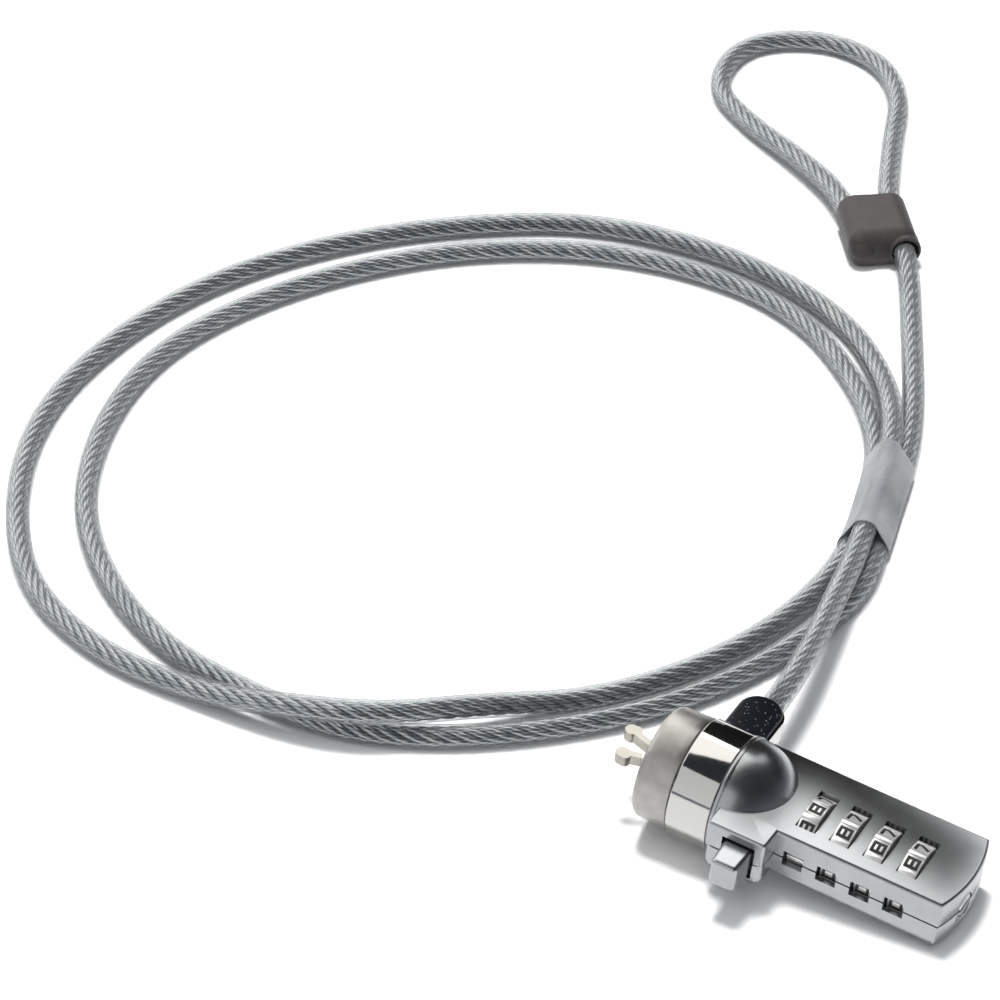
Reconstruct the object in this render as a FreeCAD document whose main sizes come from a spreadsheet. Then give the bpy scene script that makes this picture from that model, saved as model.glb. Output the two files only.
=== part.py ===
import FreeCAD, Part
import math
import os

# Laptop cable lock: a four-wheel combination head with a pair of scissor claws, a swivelling
# collar that carries the steel cable, and the cable's eye, which a crimped ferrule closes.
# The head is drawn with its barrel along X, claws at -X, and is then set down on the floor
# by one shared placement. Units are millimetres, +Z is up and the floor is z = 0.

os.makedirs("parts", exist_ok=True)
doc = FreeCAD.newDocument("cable_lock")
sheet = doc.addObject("Spreadsheet::Sheet", "sizes")
Vector = FreeCAD.Vector

SIZES = [
    # how the head lies on the floor
    ("tilt_angle", 6.5, "screw end lower than the barrel, degrees"),
    ("origin_shift_x", 2.8, "moves the head's footprint centre to x = 0"),
    ("origin_shift_y", -1.4, "moves the head's footprint centre to y = 0"),
    # casing
    ("slab_front", -9.0, "y of the front face with the small windows"),
    ("slab_back", 10.3, "y of the back face"),
    ("slab_half", 5.05, "half height of the flat slab"),
    ("slab_start", -12.9, "x where the slab meets the rim"),
    ("slab_corner", 28.7, "x of the corners of the bowed end"),
    ("slab_end", 30.4, "x of the middle of the bowed end"),
    ("top_round", 0.55, "rounding of the slab's upper edges"),
    ("bottom_round", 1.7, "rounding of the slab's lower edges"),
    ("shoulder_front", -13.6, "y of the shoulder's front face"),
    ("shoulder_end", -1.7, "x where the shoulder steps back to the slab"),
    ("rim_x", -13.5, "face of the rim against the collar"),
    ("rim_radius", 10.75, "thin lip between collar and dome"),
    ("rim_width", 0.6, "along the axis"),
    ("groove_half", 0.16, "half height of the groove along the parting line"),
    ("groove_depth", 0.7, "depth of that groove"),
    ("dome_radius", 10.55, "round of the casing behind the rim"),
    ("dome_x", -12.6, "x of the dome's centre"),
    # number wheels
    ("wheel_y", -1.35, "y of the wheel axis"),
    ("wheel_radius", 6.65, "over the ridges"),
    ("wheel_width", 3.2, "along the axis"),
    ("wheel_first", 1.88, "x of the middle of the first wheel"),
    ("wheel_pitch", 6.23, "from wheel to wheel"),
    ("cell_depth", 0.2, "depth of a number's panel below the ridges"),
    ("ridge_width", 1.0, "ridge between two numbers"),
    ("pocket_radius", 6.8, "room for a wheel in the casing"),
    ("pocket_width", 3.72, "along the axis, also the top window's length"),
    ("window_front", -5.85, "y of the top window's front edge"),
    ("window_back", 4.2, "y of the top window's back edge"),
    ("hub_radius", 4.25, "clutch hub inside a wheel"),
    ("hub_bore", 2.1, "runs on the spindle"),
    ("hub_length", 4.2, "along the axis"),
    ("spindle_radius", 2.05, "round rod through the hubs"),
    # barrel
    ("neck_radius", 7.1, "outside of the fixed neck tube"),
    ("neck_bore", 5.0, "inside of the neck tube"),
    ("collar_radius", 10.67, "outside of the swivel collar"),
    ("collar_bore", 7.15, "runs on the neck tube"),
    ("collar_start", -21.3, "front face of the collar"),
    ("collar_end", -13.65, "back face of the collar"),
    ("ring_start", -28.3, "front face of the nose ring"),
    ("ring_end", -21.45, "back face of the nose ring"),
    ("ring_radius", 10.4, "at its back face"),
    ("ring_nose", 10.1, "at its front face before rounding"),
    ("pivot_x", -24.9, "axis of both claws"),
    ("pin_radius", 0.8, "claw pivot and cable pins"),
    # button and its travel
    ("button_x", -6.4, "middle of the button"),
    ("button_front", -19.1, "outer face of the button"),
    ("button_half", 2.75, "half width of the button at its root"),
    ("button_half_z", 3.0, "half height of the button at its root"),
    # cable lug on the collar
    ("lug_x", -18.0, "axis of the cable where it leaves the collar"),
    ("lug_end", 21.9, "y of the lug's nose"),
    ("lug_half", 4.2, "half width of the lug"),
    # cable, ferrule and band
    ("cable_diameter", 4.5, "over the clear jacket"),
    ("ferrule_length", 16.8, "along the cable"),
    ("ferrule_width", 14.2, "across both bores"),
    ("ferrule_height", 8.7, "off the floor"),
    ("ferrule_spacing", 4.25, "bore to middle"),
    ("band_length", 27.0, "along the bundle"),
    ("band_width", 10.9, "outside"),
    ("band_height", 9.3, "outside"),
    ("band_wall", 0.25, "thickness of the band"),
]
for row, (alias, value, meaning) in enumerate(SIZES, start=1):
    sheet.set(f"A{row}", alias)
    sheet.set(f"B{row}", str(value))
    sheet.set(f"C{row}", meaning)
    sheet.setAlias(f"B{row}", alias)
doc.recompute()


def size(alias):
    """Value of one cell of the sheet, in millimetres or degrees."""
    return float(sheet.get(alias))


# ---- small building blocks, every size bound to the sheet by a formula ----

AXIS_TURN = {
    "x": FreeCAD.Rotation(Vector(0, 1, 0), 90),
    "y": FreeCAD.Rotation(Vector(1, 0, 0), -90),
    "z": FreeCAD.Rotation(),
}


def bind(obj, formulas):
    """Bind each property to its formula over the sheet."""
    for prop, formula in formulas.items():
        obj.setExpression(prop, str(formula))


def at(start):
    """Formulas for the position of a primitive."""
    return dict(zip(("Placement.Base.x", "Placement.Base.y", "Placement.Base.z"), start))


def block(name, start, lengths):
    """Box with its low corner at start."""
    obj = doc.addObject("Part::Box", name)
    bind(obj, at(start))
    bind(obj, dict(zip(("Length", "Width", "Height"), lengths)))
    return obj


def span(name, x, y, z):
    """Box from its low and high value along each axis."""
    low = (x[0], y[0], z[0])
    lengths = tuple(f"({pair[1]}) - ({pair[0]})" for pair in (x, y, z))
    return block(name, low, lengths)


def rod(name, along, start, length, radius):
    """Cylinder that starts at a point and runs along one axis."""
    obj = doc.addObject("Part::Cylinder", name)
    obj.Placement = FreeCAD.Placement(Vector(), AXIS_TURN[along])
    bind(obj, at(start))
    bind(obj, {"Height": length, "Radius": radius})
    return obj


def join(name, pieces):
    """Union of several pieces."""
    obj = doc.addObject("Part::MultiFuse", name)
    obj.Shapes = pieces
    obj.Refine = True
    return obj


def cut(name, base, tools):
    """Base with every tool taken away."""
    tool = tools[0] if len(tools) == 1 else join(f"{name}_tools", tools)
    obj = doc.addObject("Part::Cut", name)
    obj.Base = base
    obj.Tool = tool
    return obj


def overlap(name, first, second):
    """Volume shared by two pieces."""
    obj = doc.addObject("Part::Common", name)
    obj.Base = first
    obj.Tool = second
    return obj


def middle(edge):
    """Point halfway along an edge."""
    return edge.valueAt((edge.FirstParameter + edge.LastParameter) / 2)


def soften(name, base, radius, wanted, kind="Part::Fillet"):
    """Fillet or chamfer every edge whose middle point passes the test."""
    doc.recompute()
    picked = [n + 1 for n, edge in enumerate(base.Shape.Edges) if wanted(middle(edge))]
    obj = doc.addObject(kind, name)
    obj.Base = base
    obj.Edges = [(n, radius, radius) for n in picked]
    return obj


# The head rests on the back edge of the rim behind its collar, its lowest point at this tilt.
tilt = size("tilt_angle")
rim_edge = size("rim_x") + size("rim_width")
lift = size("rim_radius") * math.cos(math.radians(tilt)) + rim_edge * math.sin(math.radians(tilt))
shift = Vector(size("origin_shift_x"), size("origin_shift_y"), 0)
HEAD_SEAT = FreeCAD.Placement(
    shift + Vector(0, 0, lift), FreeCAD.Rotation(Vector(0, 1, 0), tilt)
)
nodes = []


def node(label, obj, seat=HEAD_SEAT):
    """Name a finished piece and set it down in the shared frame."""
    doc.recompute()
    obj.Label = label
    obj.Placement = seat
    nodes.append(obj)
    return obj


# ---- casing: one outline, split at z = 0 into an upper and a lower shell ----


def shell_outer(side):
    """Outside of one shell: slab, shoulder and dome, on one side of the parting plane."""
    outline = doc.addObject("Sketcher::SketchObject", f"{side}_outline")
    start, corner, end = size("slab_start"), size("slab_corner"), size("slab_end")
    front, back = size("slab_front"), size("slab_back")
    corners = [Vector(corner, back, 0), Vector(start, back, 0)]
    corners += [Vector(start, front, 0), Vector(corner, front, 0)]
    for first, second in zip(corners, corners[1:]):
        outline.addGeometry(Part.LineSegment(first, second), False)
    bow = Part.Arc(corners[-1], Vector(end, (front + back) / 2, 0), corners[0])
    outline.addGeometry(bow, False)
    slab = doc.addObject("Part::Extrusion", f"{side}_slab")
    slab.Base = outline
    slab.DirMode = "Normal"
    slab.Solid = True
    height = "LengthFwd" if side == "upper" else "LengthRev"
    slab.setExpression(height, "sizes.slab_half")
    edge_round = size("top_round" if side == "upper" else "bottom_round")
    half = size("slab_half")
    outer_z = half if side == "upper" else -half
    soft_slab = soften(
        f"{side}_slab_soft", slab, edge_round,
        lambda p: abs(p.z - outer_z) < 0.01 and p.x > start + 0.01,
    )
    low, high = ("0", "sizes.slab_half") if side == "upper" else ("-sizes.slab_half", "0")
    shoulder = span(
        f"{side}_shoulder", ("sizes.rim_x + 1.0", "sizes.shoulder_end"),
        ("sizes.shoulder_front", "sizes.slab_front + 2"), (low, high),
    )
    soft_shoulder = soften(
        f"{side}_shoulder_soft", shoulder, edge_round,
        lambda p: (abs(p.z - outer_z) < 0.01 and p.y < front + 1)
        or (p.y < size("shoulder_front") + 0.01 and abs(p.z - outer_z / 2) < 0.01),
    )
    ball = doc.addObject("Part::Sphere", f"{side}_ball")
    bind(ball, {"Radius": "sizes.dome_radius", "Placement.Base.x": "sizes.dome_x"})
    half_space = span(
        f"{side}_half_space", ("sizes.rim_x", "0"), ("-12", "12"),
        ("0", "12") if side == "upper" else ("-12", "0"),
    )
    rim = rod(f"{side}_rim", "x", ("sizes.rim_x", "0", "0"), "sizes.rim_width", "sizes.rim_radius")
    dome = overlap(f"{side}_dome", join(f"{side}_ball_and_rim", [ball, rim]), half_space)
    return join(f"{side}_outer", [soft_slab, soft_shoulder, dome])


def shell_rooms(side):
    """Every room and opening that both shells share."""
    rooms = [
        rod(f"{side}_neck_bore", "x", ("sizes.rim_x - 1", "0", "0"), "3", "sizes.neck_radius"),
        rod(f"{side}_flange_room", "x", ("-11.9", "0", "0"), "1.4", "8.2"),
        span(f"{side}_bar_room", ("-10.6", "-0.5"), ("-4.2", "2.6"), ("-2.6", "2.6")),
        rod(f"{side}_hub_room", "x", ("-2.4", "sizes.wheel_y", "0"), "28.6", "4.6"),
        span(f"{side}_button_mouth",
             ("sizes.button_x - sizes.button_half - 0.3", "sizes.button_x + sizes.button_half + 0.3"),
             ("sizes.shoulder_front - 1", "-12"),
             ("-sizes.button_half_z - 0.3", "sizes.button_half_z + 0.3")),
        span(f"{side}_button_room", ("-10.1", "-2.7"), ("-12.4", "-6.0"), ("-3.7", "3.7")),
        rod(f"{side}_stem_hole", "y", ("sizes.button_x", "-6.5", "0"), "3", "1.2"),
        rod(f"{side}_reset_hole", "x", ("25", "sizes.wheel_y", "0"), "7", "2.3"),
        span(f"{side}_detent_room", ("-0.7", "23.2"), ("6.0", "6.8"), ("-2.2", "2.2")),
    ]
    line_z = ("-sizes.groove_half", "sizes.groove_half")
    rooms += [
        span(f"{side}_front_groove", ("-1.8", "32"),
             ("sizes.slab_front - 1", "sizes.slab_front + sizes.groove_depth"), line_z),
        span(f"{side}_back_groove", ("-1.8", "32"),
             ("sizes.slab_back - sizes.groove_depth", "sizes.slab_back + 1"), line_z),
        span(f"{side}_shoulder_groove", ("-12", "0"),
             ("sizes.shoulder_front - 1", "sizes.shoulder_front + sizes.groove_depth"), line_z),
        span(f"{side}_step_groove", ("sizes.shoulder_end - sizes.groove_depth", "0"),
             ("sizes.shoulder_front - 1", "sizes.slab_front"), line_z),
        cut(f"{side}_end_groove",
            rod(f"{side}_end_outer", "z", ("2.2", "0.65", "-sizes.groove_half"),
                "2 * sizes.groove_half", "31"),
            [rod(f"{side}_end_inner", "z", ("2.2", "0.65", "-1"), "2", "28.2 - sizes.groove_depth"),
             span(f"{side}_end_keep", ("-30", "26"), ("-32", "32"), ("-1", "1"))]),
    ]
    for place in range(4):
        centre = f"sizes.wheel_first + {place} * sizes.wheel_pitch"
        low = f"{centre} - sizes.pocket_width / 2"
        high = f"{centre} + sizes.pocket_width / 2"
        rooms.append(rod(f"{side}_pocket_{place + 1}", "x", (low, "sizes.wheel_y", "0"),
                         "sizes.pocket_width", "sizes.pocket_radius"))
        rooms.append(span(f"{side}_front_window_{place + 1}", (low, high),
                          ("sizes.slab_front - 1", "sizes.wheel_y"), ("-1.5", "1.5")))
        rooms.append(span(f"{side}_detent_slot_{place + 1}", (f"{centre} - 0.8", f"{centre} + 0.8"),
                          ("4", "6.5"), ("-2.2", "2.2")))
        outside = ("2.5", "6") if side == "upper" else ("-6", "-2.5")
        rooms.append(span(f"{side}_top_window_{place + 1}", (low, high),
                          ("sizes.window_front", "sizes.window_back"), outside))
    return rooms


SCREW_PLACES = [(-4.5, 7.3), (26.2, 6.9)]
upper_screw_holes = [
    rod(f"upper_screw_hole_{n}", "z", (x, y, "-0.5"), "3.5", "0.8")
    for n, (x, y) in enumerate(SCREW_PLACES, start=1)
]
upper = cut("upper_shell", shell_outer("upper"), shell_rooms("upper") + upper_screw_holes)
node("upper_casing", upper)

lower_screw_holes = []
for n, (x, y) in enumerate(SCREW_PLACES, start=1):
    lower_screw_holes.append(rod(f"lower_screw_hole_{n}", "z", (x, y, "-5"), "6", "0.8"))
    lower_screw_holes.append(rod(f"lower_head_hole_{n}", "z", (x, y, "-6"), "2.6", "1.5"))
lower = cut("lower_shell", shell_outer("lower"), shell_rooms("lower") + lower_screw_holes)
node("lower_casing", lower)

screw_pieces = []
for n, (x, y) in enumerate(SCREW_PLACES, start=1):
    shank = rod(f"screw_shank_{n}", "z", (x, y, "-3.5"), "6.4", "0.8")
    head = rod(f"screw_head_{n}", "z", (x, y, "-4.6"), "1.2", "1.5")
    slot = block(f"screw_slot_{n}", (x - 2, y - 0.2, "-5"), ("4", "0.4", "0.9"))
    screw_pieces.append(cut(f"screw_{n}", join(f"screw_body_{n}", [shank, head]), [slot]))
screws = doc.addObject("Part::Compound", "screw_pair")
screws.Links = screw_pieces
node("casing_screws", screws)

# ---- barrel: neck tube, swivel collar, nose ring ----

neck = cut(
    "neck",
    join("neck_outer", [
        rod("neck_round", "x", ("-27", "0", "0"), "16.5", "sizes.neck_radius"),
        rod("neck_flange", "x", ("-11.9", "0", "0"), "1.4", "8.2"),
    ]),
    [
        rod("neck_inside", "x", ("-28", "0", "0"), "18", "sizes.neck_bore"),
        rod("neck_pin_hole", "z", ("sizes.pivot_x", "0", "-8"), "16", "sizes.pin_radius"),
    ],
)
node("neck_tube", neck)

ring_cone = doc.addObject("Part::Cone", "ring_cone")
ring_cone.Placement = FreeCAD.Placement(Vector(), AXIS_TURN["x"])
bind(ring_cone, at(("sizes.ring_start", "0", "0")))
bind(ring_cone, {
    "Radius1": "sizes.ring_nose", "Radius2": "sizes.ring_radius",
    "Height": "sizes.ring_end - sizes.ring_start",
})
ring_soft = soften("ring_soft", ring_cone, 1.2, lambda p: p.x < size("ring_start") + 0.01)
ring_back = soften("ring_back", ring_soft, 0.2,
                   lambda p: p.x > size("ring_end") - 0.01, "Part::Chamfer")
ring = cut("nose_ring", ring_back, [
    rod("ring_bore", "x", ("-27", "0", "0"), "8", "sizes.neck_radius"),
    span("ring_slot", ("-29", "-26"), ("-2.5", "2.5"), ("-1.4", "1.4")),
])
node("front_ring", ring)

collar_round = rod("collar_round", "x", ("sizes.collar_start", "0", "0"),
                   "sizes.collar_end - sizes.collar_start", "sizes.collar_radius")
collar_soft = soften("collar_soft", collar_round, 0.25,
                     lambda p: abs(p.x - size("collar_start")) < 0.01
                     or abs(p.x - size("collar_end")) < 0.01)
lug_low, lug_top, lug_seat = -3.9, 3.4, 2.35
lug = span("lug_block", ("sizes.lug_x - sizes.lug_half", "sizes.lug_x + sizes.lug_half"),
           ("7", "sizes.lug_end"), (lug_low, lug_seat))
lug_nose = size("lug_end")
lug_nosed = soften("lug_nosed", lug, 3.9,
                   lambda p: abs(p.y - lug_nose) < 0.01 and abs(p.x - size("lug_x")) > 1)
lug_soft = soften("lug_soft", lug_nosed, 2.4, lambda p: abs(p.z - lug_low) < 0.01 and p.y > 7.01)
lug_root_room = rod("lug_root_room", "x", ("-26", "0", "0"), "26 + sizes.collar_start", "10.9")
lug_shape = cut("lug_shape", lug_soft, [lug_root_room])
collar = cut("collar", join("collar_outer", [collar_soft, lug_shape]), [
    rod("collar_inside", "x", ("-23", "0", "0"), "10", "sizes.collar_bore"),
    rod("cable_socket", "y", ("sizes.lug_x", "13.4", "0"), "10", "sizes.cable_diameter / 2"),
    rod("cable_pin_hole", "x", ("sizes.lug_x - 3", "16", "0"), "6", "sizes.pin_radius"),
])
node("swivel_collar", collar)

boot = span("boot_block", ("sizes.lug_x - sizes.lug_half", "sizes.lug_x + sizes.lug_half - 0.4"),
            ("11.4", "sizes.lug_end"), (lug_seat, lug_top))
boot_soft = soften("boot_soft", boot, 3.9,
                   lambda p: abs(p.y - lug_nose) < 0.01 and abs(p.x - size("lug_x")) > 1)
boot_round = soften("boot_round", boot_soft, 0.6,
                    lambda p: abs(p.z - lug_top) < 0.01 and p.y > 11.41)
node("cable_boot", boot_round)

cable_pin_rod = rod("cable_pin_rod", "x", ("sizes.lug_x - 3", "16", "0"), "6", "sizes.pin_radius")
cable_pin = soften("cable_pin_soft", cable_pin_rod, 0.15, lambda p: True, "Part::Chamfer")
node("cable_pin", cable_pin)

# ---- claws: two scissor blades on one pin ----

pivot_rod = rod("pivot_rod", "z", ("sizes.pivot_x", "0", "-6.9"), "13.8", "sizes.pin_radius")
pivot = soften("pivot_soft", pivot_rod, 0.2, lambda p: abs(abs(p.z) - 6.9) < 0.01,
               "Part::Chamfer")
node("claw_pivot_pin", pivot)

# lobe centre of each claw from the pivot, and the half of the height its hub takes
CLAWS = {"claw_left": (-10.2, 3.1, 0.03, 1.0), "claw_right": (-8.9, -2.8, -1.0, -0.03)}
# the two arms pass over each other as they close, so each keeps to its own half of the height
for label, (reach, side, hub_low, hub_high) in CLAWS.items():
    pivot_x = size("pivot_x")
    length = math.hypot(reach, side)
    aim = math.degrees(math.atan2(side, reach))
    hub = rod(f"{label}_hub", "z", ("sizes.pivot_x", "0", hub_low), hub_high - hub_low, "1.9")
    arm = block(f"{label}_arm", ("sizes.pivot_x", "0", "-1"), (length, "1.3", "2"))
    across = Vector(0, -0.65, 0)
    turn = FreeCAD.Rotation(Vector(0, 0, 1), aim)
    arm.Placement = FreeCAD.Placement(Vector(pivot_x, 0, -1) + turn.multVec(across), turn)
    arm_place = arm.Placement.Base
    bind(arm, {"Placement.Base.x": f"sizes.pivot_x + {arm_place.x - pivot_x}",
               "Placement.Base.y": arm_place.y, "Placement.Base.z": "-1"})
    lap_low, lap_high = ("-1.2", hub_low) if side > 0 else (hub_high, "1.2")
    lap = rod(f"{label}_lap", "z", ("sizes.pivot_x", "0", lap_low),
              f"({lap_high}) - ({lap_low})", "6.1")
    lobe = rod(f"{label}_lobe", "z", (f"sizes.pivot_x + ({reach})", side, "-1"), "2", "1.25")
    heel = rod(f"{label}_heel", "z",
               (f"sizes.pivot_x + ({reach * 0.93})", side * 1.13, "-1"), "2", "0.95")
    tail_aim = FreeCAD.Rotation(Vector(0, 0, 1), -35 if side > 0 else 35)
    tail = block(f"{label}_tail", ("sizes.pivot_x", "0", hub_low), ("3.2", "1.1", hub_high - hub_low))
    tail_start = Vector(pivot_x, 0, hub_low) + tail_aim.multVec(Vector(0, -0.55, 0))
    tail.Placement = FreeCAD.Placement(tail_start, tail_aim)
    bind(tail, {"Placement.Base.x": f"sizes.pivot_x + {tail_start.x - pivot_x}",
                "Placement.Base.y": tail_start.y, "Placement.Base.z": hub_low})
    solid_arm = cut(f"{label}_arm_lapped", arm, [lap])
    body = join(f"{label}_body", [solid_arm, hub, lobe, heel, tail])
    hole = rod(f"{label}_hole", "z", ("sizes.pivot_x", "0", "-2"), "4", "sizes.pin_radius + 0.05")
    node(label, cut(f"{label}_shape", body, [hole]))

# ---- drawbar with its wedge, the keyed spindle and the springs ----

wedge = doc.addObject("Part::Wedge", "drawbar_wedge")
wedge.Xmin, wedge.Xmax, wedge.X2min, wedge.X2max = -0.85, 0.85, -0.25, 0.25
wedge.Zmin, wedge.Zmax, wedge.Z2min, wedge.Z2max = -1.2, 1.2, -1.2, 1.2
wedge.Ymin, wedge.Ymax = 0, 1.9
wedge.Placement = FreeCAD.Placement(
    Vector(-21.1, 0, 0), FreeCAD.Rotation(Vector(0, 0, 1), 90))
drawbar = join("drawbar_shape", [
    wedge,
    span("drawbar_neck", ("-21.1", "-19.9"), ("-0.85", "0.85"), ("-1.2", "1.2")),
    rod("drawbar_disc", "x", ("-20", "0", "0"), "1", "3.8"),
    span("drawbar_bar", ("-19.1", "-3.1"), ("-1.5", "1.5"), ("-1.4", "1.4")),
])
node("drawbar", drawbar)

spindle_pieces = [
    rod("spindle_rod", "x", ("-3.1", "sizes.wheel_y", "0"), "27.3", "sizes.spindle_radius"),
]
for place in range(4):
    gap = f"sizes.wheel_first + {place} * sizes.wheel_pitch - sizes.wheel_pitch / 2"
    spindle_pieces.append(block(
        f"spindle_key_{place + 1}", (f"{gap} - 0.5", "sizes.wheel_y - 0.45", "0"),
        ("1.0", "0.9", "2.9")))
spindle = join("spindle_shape", spindle_pieces)
node("spindle", spindle)


def coil(name, start, along, radius, wire, length, turns):
    """Helical spring as a swept wire, from a start point along one axis."""
    helix = Part.makeHelix(length / turns, length - wire, radius)
    ring_section = Part.makeCircle(wire / 2, Vector(radius, 0, 0), Vector(0, 1, 0))
    section = Part.Wire([ring_section])
    swept = Part.Wire(helix.Edges).makePipeShell([section], True, True)
    obj = doc.addObject("Part::Feature", name)
    swept.Placement = FreeCAD.Placement(Vector(), AXIS_TURN[along])
    offset = AXIS_TURN[along].multVec(Vector(0, 0, wire / 2))
    swept.translate(start + offset)
    obj.Shape = swept
    return obj


def moved_node(label, obj):
    """Seat a piece whose shape was drawn in place in the head's own frame."""
    shape = obj.Shape.copy()
    shape.Placement = HEAD_SEAT.multiply(shape.Placement)
    obj.Shape = shape
    obj.Label = label
    nodes.append(obj)


moved_node("drawbar_spring", coil("drawbar_coil", Vector(-18.9, 0, 0), "x", 3.3, 0.5, 8.2, 5))
moved_node("button_spring",
           coil("button_coil", Vector(size("button_x"), -8.5, 0), "y", 1.6, 0.5, 2.4, 2.5))

# ---- push button with its retaining flange and stem ----

button_root = doc.addObject("Part::Wedge", "button_head")
half_x, half_z = size("button_half"), size("button_half_z")
button_root.Xmin, button_root.Xmax = -half_x, half_x
button_root.X2min, button_root.X2max = -half_x + 0.4, half_x - 0.4
button_root.Zmin, button_root.Zmax = -half_z, half_z
button_root.Z2min, button_root.Z2max = -half_z + 0.35, half_z - 0.35
button_root.Ymin = 0
button_root.Ymax = -11.9 - size("button_front")
button_root.Placement = FreeCAD.Placement(
    Vector(size("button_x"), -11.9, 0), FreeCAD.Rotation(Vector(0, 0, 1), 180))
button_head = soften("button_head_soft", button_root, 0.8,
                     lambda p: p.y < size("button_front") + 0.01
                     or (abs(p.x - size("button_x")) > 2 and abs(p.z) > 2 and p.y < -12))
flange_half = "sizes.button_half + 0.55"
button = join("button_shape", [
    button_head,
    span("button_flange", (f"sizes.button_x - {flange_half}", f"sizes.button_x + {flange_half}"),
         ("-12.2", "-8.6"), ("-3.4", "3.4")),
    rod("button_stem", "y", ("sizes.button_x", "-8.7", "0"), "4.1", "0.9"),
])
node("push_button", button)

# ---- number wheels and the clutch hubs inside them ----

DIGIT_STEP = 36
FIRST_RIDGE = 3
for place in range(4):
    n = place + 1
    middle_x = f"sizes.wheel_first + {place} * sizes.wheel_pitch"
    low = f"{middle_x} - sizes.wheel_width / 2"
    half_step = -DIGIT_STEP / 2 if place == 0 else 0
    ridges = []
    for k in range(5):
        bar = doc.addObject("Part::Box", f"ridge_{n}_{k}")
        turn = FreeCAD.Rotation(Vector(1, 0, 0), FIRST_RIDGE + half_step + DIGIT_STEP * k)
        corner = turn.multVec(Vector(0, -size("ridge_width") / 2, -8))
        bar.Placement = FreeCAD.Placement(corner, turn)
        bind(bar, at((low, f"sizes.wheel_y + ({corner.y})", corner.z)))
        bind(bar, {"Length": "sizes.wheel_width", "Width": "sizes.ridge_width", "Height": "16"})
        ridges.append(bar)
    core = rod(f"wheel_core_{n}", "x", (low, "sizes.wheel_y", "0"), "sizes.wheel_width",
               "sizes.wheel_radius - sizes.cell_depth")
    disc = rod(f"wheel_disc_{n}", "x", (low, "sizes.wheel_y", "0"), "sizes.wheel_width",
               "sizes.wheel_radius")
    ridged = overlap(f"wheel_ridged_{n}", disc, join(f"wheel_star_{n}", [core] + ridges))
    bore = rod(f"wheel_bore_{n}", "x", (f"{low} - 1", "sizes.wheel_y", "0"), "6",
               "sizes.hub_radius")
    node(f"number_wheel_{n}", cut(f"wheel_{n}", ridged, [bore]))
    hub_low = f"{middle_x} - sizes.hub_length / 2"
    hub = rod(f"hub_round_{n}", "x", (hub_low, "sizes.wheel_y", "0"), "sizes.hub_length",
              "sizes.hub_radius")
    hub_hole = rod(f"hub_hole_{n}", "x", (f"{hub_low} - 1", "sizes.wheel_y", "0"), "7",
                   "sizes.hub_bore")
    # gates for the keys on the spindle, one on each side of the hub
    keyway = block(f"hub_keyway_{n}", (f"{hub_low} - 1", "sizes.wheel_y - 0.6", "-3.1"),
                   ("7", "1.2", "6.2"))
    node(f"clutch_hub_{n}", cut(f"hub_{n}", hub, [hub_hole, keyway]))

detent_pieces = [span("detent_strip", ("-0.5", "23.0"), ("6.3", "6.65"), ("-2", "2"))]
for place in range(4):
    centre = f"sizes.wheel_first + {place} * sizes.wheel_pitch"
    detent_pieces.append(span(f"detent_finger_{place + 1}", (f"{centre} - 0.6", f"{centre} + 0.6"),
                              ("5.4", "6.4"), ("-0.5", "0.5")))
node("detent_spring", join("detent_shape", detent_pieces))

reset = soften("reset_soft",
               rod("reset_rod", "x", ("26.4", "sizes.wheel_y", "0"), "3.85", "2.2"),
               0.25, lambda p: True, "Part::Chamfer")
reset_slot = span("reset_slot", ("29.5", "31"), ("sizes.wheel_y - 3", "sizes.wheel_y + 3"),
                  ("-0.35", "0.35"))
node("reset_screw", cut("reset_shape", reset, [reset_slot]))

# ---- cable: straight runs joined by tangent arcs, from the lug to the end of the eye ----
# Three strands lie side by side in the band, the one from the lug on top of the other two.

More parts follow.
